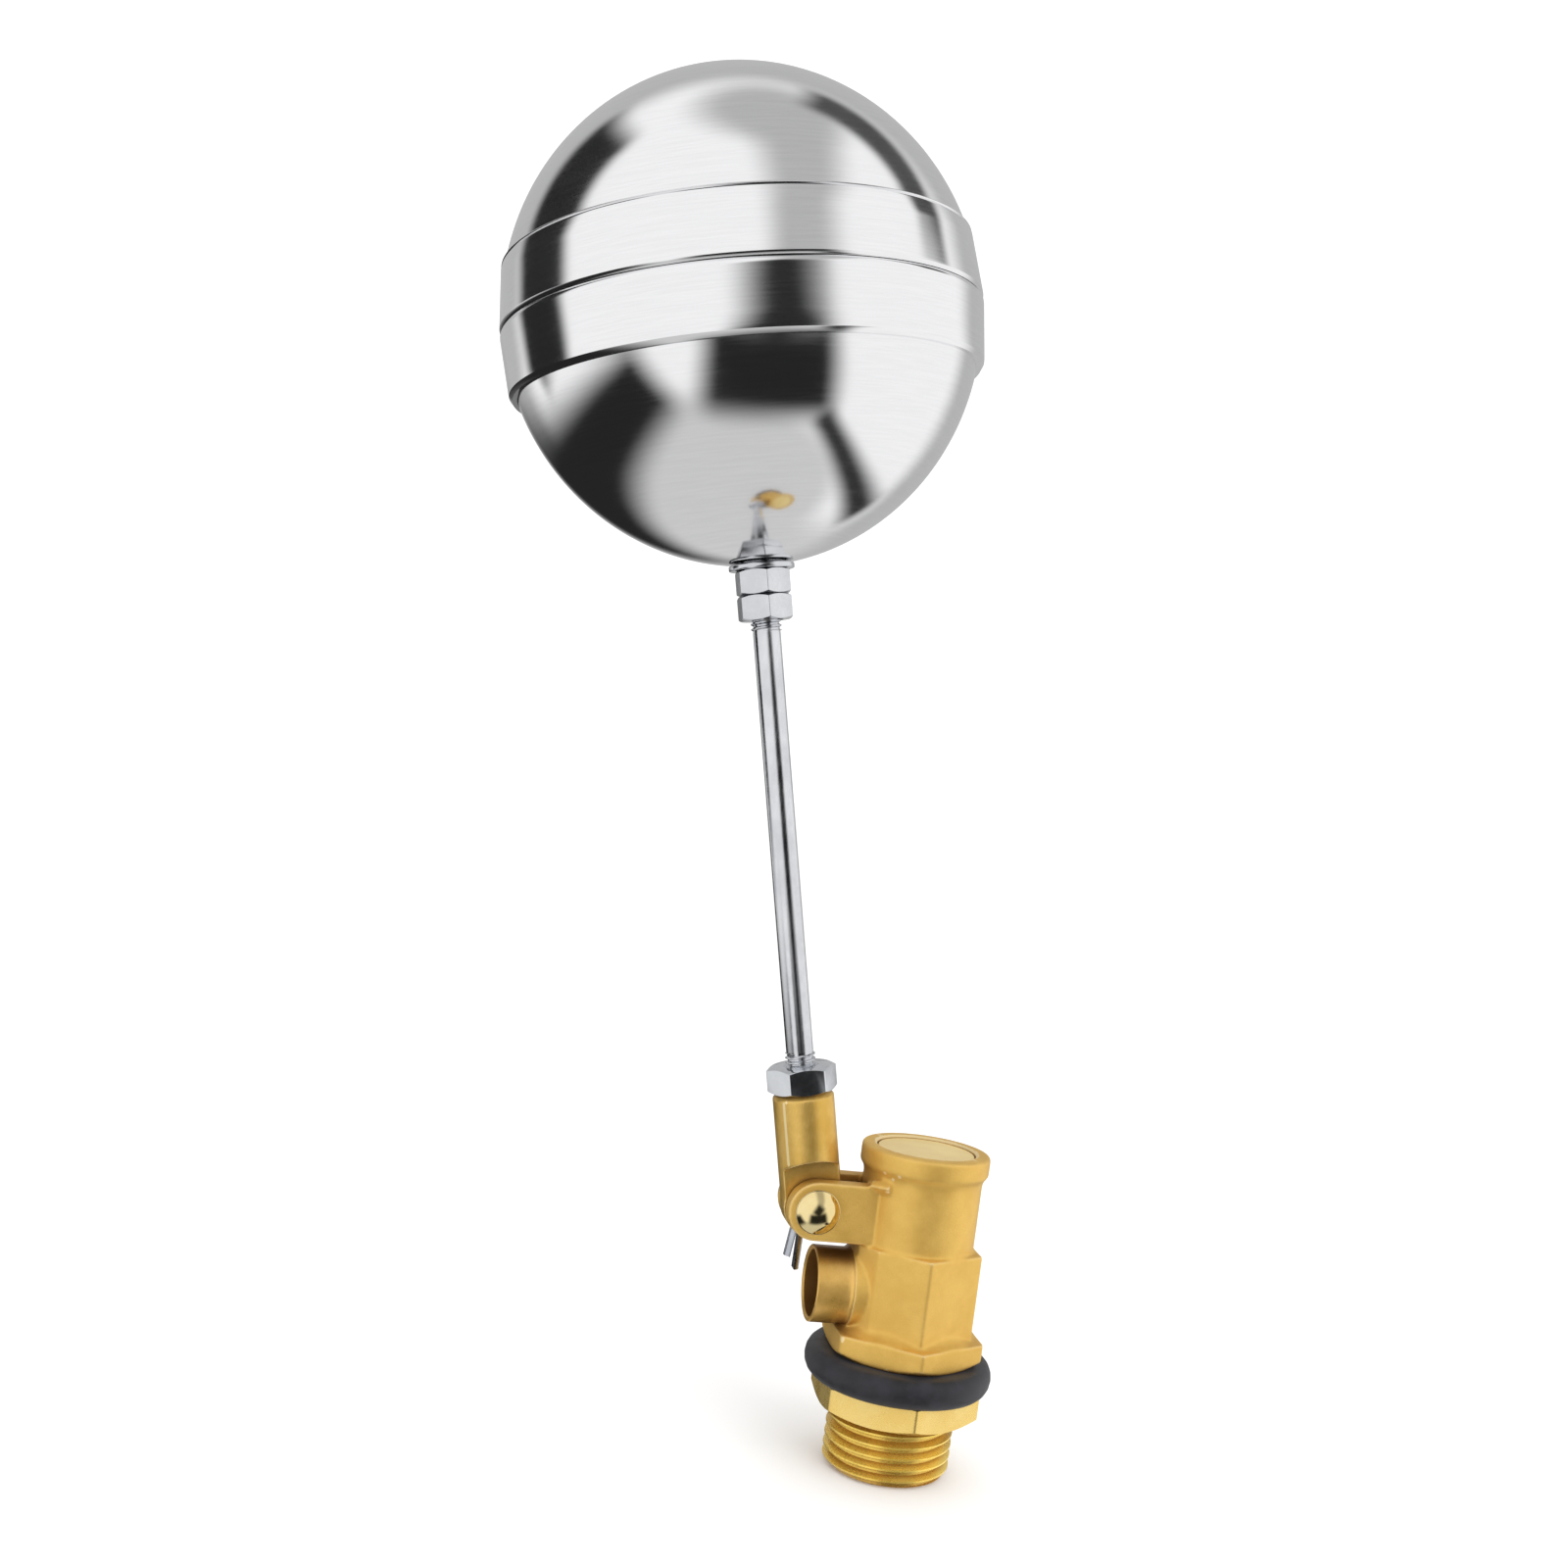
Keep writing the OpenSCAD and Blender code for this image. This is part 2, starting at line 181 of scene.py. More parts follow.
tree.links.new(even_light.outputs[0], choose_light.inputs[1])
tree.links.new(boards_light.outputs[0], choose_light.inputs[2])
world_out = tree.nodes.new("ShaderNodeOutputWorld")
tree.links.new(choose_light.outputs[0], world_out.inputs["Surface"])

bpy.ops.mesh.primitive_plane_add(size=30, location=(0, 0, -0.05 * mm))
floor = bpy.context.object
floor.name = "floor"
floor.visible_glossy = False
floor_paint = bpy.data.materials.new("pale_floor")
floor_paint.use_nodes = True
floor_shader = floor_paint.node_tree.nodes["Principled BSDF"]
floor_shader.inputs["Base Color"].default_value = (0.95, 0.95, 0.95, 1)
floor_shader.inputs["Roughness"].default_value = 0.9
floor.data.materials.append(floor_paint)

key_lamp = bpy.data.lights.new("soft_key", "AREA")
key_lamp.size = 0.5
key_lamp.energy = 1.6
key = bpy.data.objects.new("soft_key", key_lamp)
bpy.context.scene.collection.objects.link(key)
key.visible_glossy = False
key.matrix_world = (
    Matrix.Translation(Vector((250, -450, 420)) * mm)
    @ Vector((250, -450, 380)).to_track_quat("Z", "Y").to_matrix().to_4x4()
)


# Body casting
# One brass casting: a hexagonal flange, a hexagon with its two outlet-side corners cut off, a round
# barrel with a flared lip, a ring for the tube, and two ears. The skin is as cast; the bores, the
# slot and the seat are machined.
flange_low, flange_high = 19.4, 23.4
flange_flats = 24.0
hexagon_flats, hexagon_high = 20.3, 37.6
facet_x, facet_y, facet_turn = 7.7, 7.28, 33.7
barrel_radius, barrel_high = 9.8, 53.4
lip_radius = 10.62
bore_radius, chamber_floor = 8.2, 23.5
seat_radius, seat_high, orifice_radius = 4.4, 25.0, 3.2
inlet_radius = 7.5
tube_height, tube_radius, tube_hole = 29.5, 6.2, 5.4
port_radius, port_step_radius = 6.03, 5.2
ring_radius, ring_out = 6.7, 10.65
pivot = Vector((-18, 0, 42.5))
ear_radius, ear_in, ear_out = 4.8, 2.35, 5.25
pin_radius = 2.5
slot_low, slot_high = 38.9, 45.9
casting_voxel = 0.24


def pick(*pieces):
    bpy.ops.object.select_all(action="DESELECT")
    for piece in pieces:
        piece.select_set(True)
    bpy.context.view_layer.objects.active = pieces[0]


def use_modifier(piece, kind, **settings):
    """Adds a modifier and applies it at once."""
    modifier = piece.modifiers.new(kind.lower(), kind)
    for setting, value in settings.items():
        setattr(modifier, setting, value)
    pick(piece)
    bpy.ops.object.modifier_apply(modifier=modifier.name)
    return piece


def turned(name, outline, steps=96):
    """Draws a closed outline of (radius, height) points in mm and spins it, as on a lathe."""
    bpy.ops.object.select_all(action="DESELECT")
    bpy.ops.mesh.primitive_plane_add(size=mm)
    piece = bpy.context.object
    piece.name = name
    bpy.ops.object.mode_set(mode="EDIT")
    bpy.ops.mesh.select_all(action="SELECT")
    bpy.ops.mesh.merge(type="CENTER")
    bpy.ops.transform.translate(value=(outline[0][0] * mm, 0, outline[0][1] * mm))
    for here, there in zip(outline, outline[1:] + outline[:1]):
        step = ((there[0] - here[0]) * mm, 0, (there[1] - here[1]) * mm)
        bpy.ops.mesh.extrude_region_move(TRANSFORM_OT_translate={"value": step})
    bpy.ops.mesh.select_all(action="SELECT")
    bpy.ops.mesh.spin(steps=steps, angle=2 * math.pi, center=(0, 0, 0), axis=(0, 0, 1))
    bpy.ops.mesh.select_all(action="SELECT")
    bpy.ops.mesh.remove_doubles(threshold=0.002 * mm)
    bpy.ops.mesh.delete_loose()
    bpy.ops.mesh.select_all(action="SELECT")
    bpy.ops.mesh.normals_make_consistent(inside=False)
    bpy.ops.object.mode_set(mode="OBJECT")
    return piece


def bar(name, radius, start, end, sides=64):
    """A round bar between two points, in mm."""
    start, end = Vector(start) * mm, Vector(end) * mm
    bpy.ops.object.select_all(action="DESELECT")
    bpy.ops.mesh.primitive_cylinder_add(
        vertices=sides, radius=radius * mm, depth=(end - start).length,
        location=(start + end) / 2, rotation=(end - start).to_track_quat("Z", "Y").to_euler())
    piece = bpy.context.object
    piece.name = name
    bpy.ops.object.transform_apply(location=True, rotation=True, scale=True)
    return piece


def block(name, low, high):
    """A box between two corners, in mm."""
    low, high = Vector(low) * mm, Vector(high) * mm
    bpy.ops.object.select_all(action="DESELECT")
    bpy.ops.mesh.primitive_cube_add(size=1, location=(low + high) / 2, scale=high - low)
    piece = bpy.context.object
    piece.name = name
    bpy.ops.object.transform_apply(location=True, rotation=True, scale=True)
    return piece


def six_sided(name, flats, low, high, corner=0.25):
    """A hexagon bar with its corners at 30, 90 and 150 degrees, slightly rounded."""
    bpy.ops.object.select_all(action="DESELECT")
    bpy.ops.mesh.primitive_cylinder_add(
        vertices=6, radius=flats / math.sqrt(3) * mm, depth=(high - low) * mm,
        location=(0, 0, (low + high) / 2 * mm))
    piece = bpy.context.object
    piece.name = name
    bpy.ops.object.mode_set(mode="EDIT")
    bpy.ops.mesh.select_mode(type="EDGE")
    bpy.ops.mesh.select_all(action="DESELECT")
    bpy.ops.object.mode_set(mode="OBJECT")
    for edge in piece.data.edges:
        ends = [piece.data.vertices[i].co for i in edge.vertices]
        edge.select = abs(ends[0].z - ends[1].z) > 0.5 * (high - low) * mm
    bpy.ops.object.mode_set(mode="EDIT")
    bpy.ops.mesh.bevel(offset=corner * mm, segments=3)
    bpy.ops.mesh.select_mode(type="VERT")
    bpy.ops.object.mode_set(mode="OBJECT")
    bpy.ops.object.transform_apply(location=True, rotation=True, scale=True)
    return piece


def work(piece, tool, operation="DIFFERENCE", solver="EXACT"):
    """Cuts, joins or trims a piece with a tool, which is used up."""
    use_modifier(piece, "BOOLEAN", object=tool, operation=operation, solver=solver)
    bpy.data.objects.remove(tool)
    return piece


def skinned(name, points, faces):
    """Makes a closed solid from its points and faces, with every face turned outwards."""
    mesh = bpy.data.meshes.new(name)
    mesh.from_pydata(points, [], faces)
    piece = bpy.data.objects.new(name, mesh)
    bpy.context.scene.collection.objects.link(piece)
    pick(piece)
    bpy.ops.object.mode_set(mode="EDIT")
    bpy.ops.mesh.select_all(action="SELECT")
    bpy.ops.mesh.remove_doubles(threshold=0.001 * mm)
    bpy.ops.mesh.normals_make_consistent(inside=False)
    bpy.ops.object.mode_set(mode="OBJECT")
    return piece


def break_edges(piece, width, segments=2, sharper_than=0.9):
    """Rounds the edges that turn by more than sharper_than radians; width is in mm."""
    return use_modifier(
        piece, "BEVEL", width=width * mm, segments=segments, limit_method="ANGLE",
        angle_limit=sharper_than)


def place_now(piece, place):
    """Moves a piece and writes its new place into its mesh."""
    piece.matrix_world = place @ piece.matrix_world
    pick(piece)
    bpy.ops.object.transform_apply(location=True, rotation=True, scale=True)


def finish_piece(piece, body, node, material, angle=30, place=None):
    """Puts a finished mesh in its place and fixes it to its body of the frame."""
    place_now(piece, place or Matrix())
    bpy.ops.object.shade_smooth_by_angle(angle=math.radians(angle))
    piece.data.materials.clear()
    piece.data.materials.append(material)
    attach(piece, body)
    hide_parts(node)
    return piece


def noise_node(tree, coordinates, scale, detail=3.0, roughness=0.5):
    node = tree.nodes.new("ShaderNodeTexNoise")
    node.inputs["Scale"].default_value = scale
    node.inputs["Detail"].default_value = detail
    node.inputs["Roughness"].default_value = roughness
    tree.links.new(coordinates, node.inputs["Vector"])
    return node.outputs["Fac"]


def blend_node(tree, factor, first, second):
    node = tree.nodes.new("ShaderNodeMix")
    node.data_type = "RGBA"
    tree.links.new(factor, node.inputs["Factor"])
    for socket, colour in (("A", first), ("B", second)):
        socket = [s for s in node.inputs if s.name == socket and s.type == "RGBA"][0]
        if isinstance(colour, tuple):
            socket.default_value = colour + (1,)
        else:
            tree.links.new(colour, socket)
    return [s for s in node.outputs if s.type == "RGBA"][0]


def bump_node(tree, height, strength, depth):
    """A bump from a height pattern; depth is in mm."""
    node = tree.nodes.new("ShaderNodeBump")
    node.inputs["Strength"].default_value = strength
    node.inputs["Distance"].default_value = depth * mm
    tree.links.new(height, node.inputs["Height"])
    return node


def metal(name, tone, shade, polish, grain, stretch=(1, 1, 1), turn=(0, 0, 0), edge_tone=None, bare=1.0,
          painted_shade=None, reach=6, clear=0.75):
    """A metal. tone and shade are its two colours; polish is its lowest and highest roughness;
    grain is (size in mm, depth in mm, strength); stretch and turn lay the grain along the work.
    bare is how much of the skin shines as metal; the edge colour lightens the sharp edges. The
    corner colour is painted shade, darkening the corners as if shade fell there; corners are looked
    for within reach mm, and a spot open by more than the share clear has none."""
    material = bpy.data.materials.new(name)
    material.use_nodes = True
    tree = material.node_tree
    shader = tree.nodes["Principled BSDF"]
    shader.inputs["Metallic"].default_value = bare
    place = tree.nodes.new("ShaderNodeTexCoord").outputs["Object"]
    lay = tree.nodes.new("ShaderNodeMapping")
    lay.inputs["Rotation"].default_value = turn
    lay.inputs["Scale"].default_value = stretch
    tree.links.new(place, lay.inputs["Vector"])
    size, depth, strength = grain
    clouds = noise_node(tree, place, 1 / (6 * mm), 4, 0.6)
    specks = noise_node(tree, lay.outputs[0], 1 / (size * mm), 3, 0.6)
    colour = blend_node(tree, ramp_node(tree, clouds, 0.3, 0.7, 0, 1), shade, tone)
    speckle = ramp_node(tree, specks, 0.35, 0.65, 0.35, 0)
    colour = blend_node(tree, speckle, colour, shade)
    # The sharp edges, found by pointiness, are lightened towards the edge colour.
    if edge_tone:
        edge = tree.nodes.new("ShaderNodeNewGeometry").outputs["Pointiness"]
        colour = blend_node(tree, ramp_node(tree, edge, 0.51, 0.58, 0, 0.8), colour, edge_tone)
    # Painted shade: where ambient occlusion finds the skin closed in, the colour is darkened
    # towards the corner colour.
    if painted_shade:
        corner = tree.nodes.new("ShaderNodeAmbientOcclusion")
        corner.samples = 8
        corner.inputs["Distance"].default_value = reach * mm
        painted_shade_mask = ramp_node(tree, corner.outputs["AO"], clear - 0.55, clear, 0.9, 0)
        colour = blend_node(tree, painted_shade_mask, colour, painted_shade)
    tree.links.new(colour, shader.inputs["Base Color"])
    mixed = math_node(tree, "MULTIPLY", math_node(tree, "ADD", clouds, specks), 0.5)
    tree.links.new(ramp_node(tree, mixed, 0.3, 0.7, *polish), shader.inputs["Roughness"])
    bump = bump_node(tree, specks, strength, depth)
    tree.links.new(bump.outputs[0], shader.inputs["Normal"])
    return material


# The corner colours of cast and turned brass are painted shade for their corners and recesses.
cast_brass = metal(
    "cast_brass", (0.84, 0.555, 0.145), (0.73, 0.45, 0.10), (0.44, 0.58),
    grain=(0.28, 0.05, 0.7), edge_tone=(0.98, 0.80, 0.46), bare=0.68, painted_shade=(0.36, 0.18, 0.04))
turned_brass = metal(
    "turned_brass", (0.86, 0.60, 0.20), (0.76, 0.49, 0.13), (0.2, 0.34),
    grain=(0.5, 0.02, 0.35), stretch=(1, 1, 6), bare=0.8, painted_shade=(0.30, 0.14, 0.03))

casting = six_sided("body_casting", hexagon_flats, flange_low + 1, hexagon_high, 0.25)
for side in (-1, 1):
    corner_cut = block("corner_cut", (0, -10, flange_low), (10, 10, hexagon_high + 1))
    corner_cut.matrix_world = (
        Matrix.Translation(Vector((-facet_x, side * facet_y, 0)) * mm)
        @ Matrix.Rotation(math.radians(180 - side * facet_turn), 4, "Z"))
    work(casting, corner_cut, solver="MANIFOLD")
flange = six_sided("flange", flange_flats, flange_low, flange_high, 0.4)
flange_trim = turned("flange_trim", [
    (0, flange_low), (11.9, flange_low), (13.95, flange_low + 1.2), (13.95, flange_high - 0.2),
    (13.3, flange_high), (0, flange_high)])
work(flange, flange_trim, "INTERSECT")
shoulder = turned("shoulder", [
    (0, 22), (12.0, 22), (12.0, flange_high), (11.0, 24.0), (10.2, 24.8), (0, 24.8)])
barrel = turned("barrel", [
    (0, 36), (barrel_radius, 36), (barrel_radius, 48.6), (10.0, 49.5), (lip_radius, 50.3),
    (lip_radius, barrel_high - 0.4), (lip_radius - 0.4, barrel_high), (0, barrel_high)])
ring = bar("ring", ring_radius, (-ring_out, 0, tube_height), (-8, 0, tube_height))
casting_parts = [casting, flange, shoulder, barrel, ring]
for side in (-1, 1):
    low_y, high_y = sorted((side * ear_in, side * ear_out))
    casting_parts.append(bar(
        "ear_end", ear_radius, (pivot.x, low_y, pivot.z), (pivot.x, high_y, pivot.z)))
    casting_parts.append(block(
        "ear", (pivot.x, low_y, pivot.z - ear_radius), (-7, high_y, pivot.z + ear_radius)))
casting_parts.append(bar("gate_mark", 1.0, (-9.6, -4.6, 47.5), (-7.0, -7.0, 47.7), 4))
pick(*casting_parts)
bpy.ops.object.join()
use_modifier(
    casting, "REMESH", mode="VOXEL", voxel_size=casting_voxel * mm, use_smooth_shade=True)
use_modifier(casting, "SMOOTH", factor=0.5, iterations=9)
chamber = turned("chamber", [
    (0, seat_high), (seat_radius, seat_high), (seat_radius, chamber_floor),
    (bore_radius, chamber_floor), (bore_radius, barrel_high - 0.3),
    (bore_radius + 0.35, barrel_high), (bore_radius + 0.35, barrel_high + 2), (0, barrel_high + 2)])
work(casting, chamber, solver="MANIFOLD")
orifice = turned("orifice", [
    (0, 18), (inlet_radius, 18), (inlet_radius, flange_low), (orifice_radius, flange_low + 1.6),
    (orifice_radius, seat_high - 0.3), (orifice_radius + 0.3, seat_high + 0.2),
    (0, seat_high + 0.2)])
work(casting, orifice, solver="MANIFOLD")
for cutter in (
    bar("port", port_radius, (-14, 0, tube_height), (-8.3, 0, tube_height)),
    bar("port_step", port_step_radius, (-9, 0, tube_height), (-6, 0, tube_height)),
    block("finger_slot", (-24, -ear_in, slot_low), (-7, ear_in, slot_high)),
    block("ear_gap", (-24, -ear_in, 36), (-10.6, ear_in, 49)),
    bar("pin_hole", pin_radius + 0.02, (pivot.x, -8, pivot.z), (pivot.x, 8, pivot.z)),
):
    work(casting, cutter, solver="MANIFOLD")
finish_piece(casting, "body", "valve_body", cast_brass, angle=40)


# Inlet thread
# The lower end of the casting, machined to a G 1/2 parallel pipe thread of 1.814 mm pitch, with
# a chamfered end and the inlet bored up the middle.
thread_radius, thread_root, thread_pitch = 10.4775, 9.36, 1.814


def threaded(name, radius, root, pitch, low, high, steps=96):
    """A solid right-hand screw between two heights. Its rows of points climb with the thread, so
    each crest is clean, and rows past either end are drawn in to that end's plane. tooth gives
    the thread's form: shares of the pitch, and of the way from root to crest."""
    tooth = ((0.0, 0), (0.1, 0), (0.42, 1), (0.58, 1), (0.9, 0), (1.0, 0))
    start = low - 1.5 * pitch
    rows = (math.ceil((high - low) / pitch) + 3) * (len(tooth) - 1)

    def share_at(phase):
        for (here, h_here), (there, h_there) in zip(tooth, tooth[1:]):
            if phase <= there:
                return h_here + (h_there - h_here) * (phase - here) / (there - here)
        return 0

    points, faces = [], []
    for column in range(steps):
        angle = 2 * math.pi * column / steps
        for row in range(rows):
            turn, place = divmod(row, len(tooth) - 1)
            height = start + (turn + tooth[place][0] + column / steps) * pitch
            height = min(max(height, low), high)
            phase = ((height - start) / pitch - column / steps) % 1
            reach = root + (radius - root) * share_at(phase)
            points.append((
                reach * mm * math.cos(angle), reach * mm * math.sin(angle), height * mm))
    points += [(0, 0, low * mm), (0, 0, high * mm)]
    for column in range(steps):
        here = column * rows
        last = column == steps - 1
        there = len(tooth) - 1 if last else here + rows
        for row in range(rows - (len(tooth) if last else 1)):
            faces.append((here + row, there + row, there + row + 1, here + row + 1))
        faces.append((len(points) - 2, 0 if last else here + rows, here))
        faces.append((len(points) - 1, here + rows - 1, rows - 1 if last else here + 2 * rows - 1))
    return skinned(name, points, faces)


thread = threaded("body_thread", thread_radius, thread_root, thread_pitch, 0, flange_low, 128)
work(thread, turned("thread_end", [
    (0, 0), (9.3, 0), (thread_radius + 0.1, 1.1), (thread_radius + 0.1, 30), (0, 30)]), "INTERSECT")
work(thread, turned("inlet", [
    (0, -1), (inlet_radius + 0.4, -1), (inlet_radius + 0.4, 0), (inlet_radius, 0.4),
    (inlet_radius, 30), (0, 30)]))
# The corner colour here is painted shade, darkening the thread's roots.
thread_brass = metal(
    "thread_brass", (0.98, 0.73, 0.17), (0.90, 0.62, 0.11), (0.22, 0.34),
    grain=(0.5, 0.015, 0.3), stretch=(1, 1, 5), bare=0.65, painted_shade=(0.50, 0.26, 0.05))
finish_piece(thread, "body", "valve_body", thread_brass, angle=35)


# Outlet tube
# Thin brass tube pressed and brazed into the ring on the body's side. Its mouth is cut square and
# deburred, so a thin bright rim shows round the bore, which is dark partly from painted shade.
tube_mouth, tube_root = 16.6, 8.32
tube = turned("outlet_tube", [
    (tube_hole, tube_root), (6.0, tube_root), (6.0, 12.0), (tube_radius, 12.1),
    (tube_radius, tube_mouth - 0.15), (tube_radius - 0.15, tube_mouth),
    (tube_hole + 0.25, tube_mouth), (tube_hole, tube_mouth - 0.3)])
braze = turned("braze", [
    (5.9, ring_out - 0.5), (6.5, ring_out - 0.5), (6.5, ring_out + 0.05), (6.35, ring_out + 0.25),
    (6.2, ring_out + 0.6), (6.2, 12.2), (5.9, 12.2)])
work(tube, braze, "UNION")
# The corner colour here is painted shade; it looks 16 mm out, so it darkens the whole bore.
tube_brass = metal(
    "tube_brass", (0.88, 0.56, 0.17), (0.70, 0.41, 0.09), (0.26, 0.42),
    grain=(0.4, 0.02, 0.4), stretch=(5, 1, 1), bare=0.7, painted_shade=(0.20, 0.085, 0.02),
    reach=16, clear=0.95)
tube_place = (
    Matrix.Translation((0, 0, tube_height * mm)) @ Matrix.Rotation(math.radians(-90), 4, "Y"))
finish_piece(tube, "body", "outlet_tube", tube_brass, place=tube_place)


# Sealing washer
# Thick moulded rubber ring that the lock nut squeezes against the tank wall. It bulges a little
# between the flange and the nut, and its skin is matt with a faint bloom.
washer_low, washer_high, washer_radius, washer_hole = 14.6, 19.4, 15.5, 10.35
bulge_wide, bulge_tall = 1.7, 2.4
washer_outline = [(washer_hole, washer_low), (washer_radius - bulge_wide, washer_low)]
for step in range(1, 8):
    angle = math.radians(-90 + 22.5 * step)
    washer_outline.append((
        washer_radius - bulge_wide + bulge_wide * math.cos(angle),
        (washer_low + washer_high) / 2 + bulge_tall * math.sin(angle)))
washer_outline += [(washer_radius - bulge_wide, washer_high), (washer_hole, washer_high)]
rubber_ring = turned("sealing_washer", washer_outline, steps=128)
break_edges(rubber_ring, 0.3, segments=3, sharper_than=0.6)

rubber = bpy.data.materials.new("rubber")
rubber.use_nodes = True
tree = rubber.node_tree
rubber_shader = tree.nodes["Principled BSDF"]
rubber_shader.inputs["Specular IOR Level"].default_value = 0.4
rubber_shader.inputs["Sheen Weight"].default_value = 0.06
rubber_shader.inputs["Sheen Roughness"].default_value = 0.6
rubber_place = tree.nodes.new("ShaderNodeTexCoord").outputs["Object"]
bloom = noise_node(tree, rubber_place, 1 / (3.5 * mm), 5, 0.6)
pores = noise_node(tree, rubber_place, 1 / (0.35 * mm), 3, 0.6)
rubber_colour = blend_node(
    tree, ramp_node(tree, bloom, 0.35, 0.7, 0, 1), (0.008, 0.008, 0.011), (0.02, 0.02, 0.027))
tree.links.new(rubber_colour, rubber_shader.inputs["Base Color"])
tree.links.new(ramp_node(tree, bloom, 0.3, 0.7, 0.42, 0.62), rubber_shader.inputs["Roughness"])
rubber_bump = bump_node(tree, pores, 0.35, 0.05)
tree.links.new(rubber_bump.outputs[0], rubber_shader.inputs["Normal"])
finish_piece(rubber_ring, "body", "sealing_washer", rubber, angle=50)


# Lock nut
# Brass nut milled from hexagon bar, 25 mm across its flats, with a turned chamfer on its lower
# side. It runs on the inlet thread and slides off downwards.
nut_low, nut_high, nut_flats, nut_hole = 10.0, 14.6, 25.0, 10.51


def hex_nut(name, flats, low, high, hole, both_ends=True):
    """A nut: hexagon bar, its lower end or both ends turned to a cone, and a countersunk hole."""
    piece = six_sided(name, flats, low, high, corner=0.012 * flats)
    corner = flats / math.sqrt(3)
    face = flats / 2 - 0.1
    rim = corner + 0.05
    drop = (corner - face) * math.tan(math.radians(30))
    outline = [(0, low), (face, low), (rim, low + drop)]
    if both_ends:
        outline += [(rim, high - drop), (face, high), (0, high)]
    else:
        outline += [(rim, high), (0, high)]
    work(piece, turned("turning", outline, steps=120), "INTERSECT", "MANIFOLD")
    sink = 0.04 * flats
    work(piece, turned("hole", [
        (0, low - 1), (hole + sink, low - 1), (hole + sink, low), (hole, low + sink),
        (hole, high - sink), (hole + sink, high), (hole + sink, high + 1), (0, high + 1)]),
        solver="MANIFOLD")
    return piece


# The corner colour here is painted shade, darkening the nut's corners and hole.
nut_brass = metal(
    "nut_brass", (0.91, 0.68, 0.24), (0.82, 0.57, 0.16), (0.22, 0.34),
    grain=(0.35, 0.015, 0.35), stretch=(1, 1, 4), bare=0.75, painted_shade=(0.40, 0.2, 0.04))
lock_nut = hex_nut("lock_nut", nut_flats, nut_low, nut_high, nut_hole, both_ends=False)
finish_piece(lock_nut, "nut", "lock_nut", nut_brass)


# Piston
# Brass piston that slides in the barrel. The lever's finger works in the slot across it. Its top
# is faced on a lathe and shows faint rings.
piston_radius, piston_high = 8.1, 53.0
spigot_radius, spigot_high = 6.45, 35.4
slot_middle, slot_half = 44.475, 2.9
piston = turned("piston", [
    (0, 32.2), (spigot_radius, 32.2), (spigot_radius, spigot_high),
    (piston_radius - 0.3, spigot_high), (piston_radius, 35.7), (piston_radius, piston_high - 0.25),
    (piston_radius - 0.25, piston_high), (0, piston_high)])
work(piston, block(
    "slot", (-12, -2.45, slot_middle - slot_half), (3.35, 2.45, slot_middle + slot_half)))
# The corner colour here is painted shade, darkening the slot and corners.
piston_brass = metal(
    "piston_brass", (0.93, 0.74, 0.34), (0.86, 0.64, 0.25), (0.3, 0.42),
    grain=(0.3, 0.02, 0.4), bare=0.5, painted_shade=(0.30, 0.14, 0.03))
finish_piece(piston, "piston", "piston", piston_brass)


# Piston cap and seat washer
# The cap screws on the piston's spigot and clamps a rubber disc by its flange. The disc's face
# closes the seat when the float lifts the arm.
cap = turned("piston_cap", [
    (4.9, 29.4), (7.6, 29.4), (7.9, 29.7), (7.9, 35.1), (7.6, 35.38), (6.5, 35.38), (6.5, 30.6),
    (4.9, 30.6)])
break_edges(cap, 0.1)
finish_piece(cap, "piston", "piston_cap", turned_brass)
seat_disc = turned("seat_washer", [
    (0, 29.0), (4.5, 29.0), (4.8, 29.3), (4.8, 30.6), (6.4, 30.6), (6.4, 32.2), (0, 32.2)])
break_edges(seat_disc, 0.12)
finish_piece(seat_disc, "piston", "seat_washer", rubber)


# Pivot pin and its washer
# Brass pin with a polished domed head on the near side, and a plain steel washer on the far side.
# The head is struck to shape, so its edge is a little rounded.
head_radius, head_high = 3.6, 1.6
split_y = 7.35
dome_radius = (head_radius ** 2 + head_high ** 2) / (2 * head_high)
pin_outline = [(0, 9.25), (2.2, 9.25), (pin_radius, 8.95), (pin_radius, -ear_out)]
pin_outline += [(head_radius - 0.1, -ear_out), (head_radius, -ear_out - 0.1)]
for step in range(1, 13):
    radius = head_radius * math.cos(math.radians(90 * step / 12))
    rise = math.sqrt(dome_radius ** 2 - radius ** 2) - (dome_radius - head_high)
    pin_outline.append((max(radius, 0), -ear_out - max(rise, 0.12)))
pin = turned("pivot_pin", pin_outline)
pin_place = Matrix.Translation(pivot * mm) @ Matrix.Rotation(math.radians(-90), 4, "X")
place_now(pin, pin_place)
work(pin, bar("cross_hole", 1.15, (pivot.x, split_y, 37), (pivot.x, split_y, 48), 32))
polished_brass = metal(
    "polished_brass", (0.93, 0.78, 0.42), (0.88, 0.70, 0.34), (0.06, 0.16),
    grain=(1.5, 0.01, 0.15))
finish_piece(pin, "body", "pivot_pin", polished_brass)

plated_steel = metal(
    "plated_steel", (0.60, 0.62, 0.66), (0.46, 0.48, 0.53), (0.22, 0.38),
    grain=(0.4, 0.02, 0.35))
pin_washer = turned("pivot_washer", [(2.56, 5.25), (4.6, 5.25), (4.6, 6.05), (2.56, 6.05)])
break_edges(pin_washer, 0.15)
finish_piece(pin_washer, "body", "pivot_washer", plated_steel, place=pin_place)


# Split pin
# Half-round steel wire bent to an eye and pushed down through the pivot pin. Its two legs are of
# unequal length and are spread under the pin so that it can't drop out.
split_place = Vector((pivot.x, split_y, pivot.z))


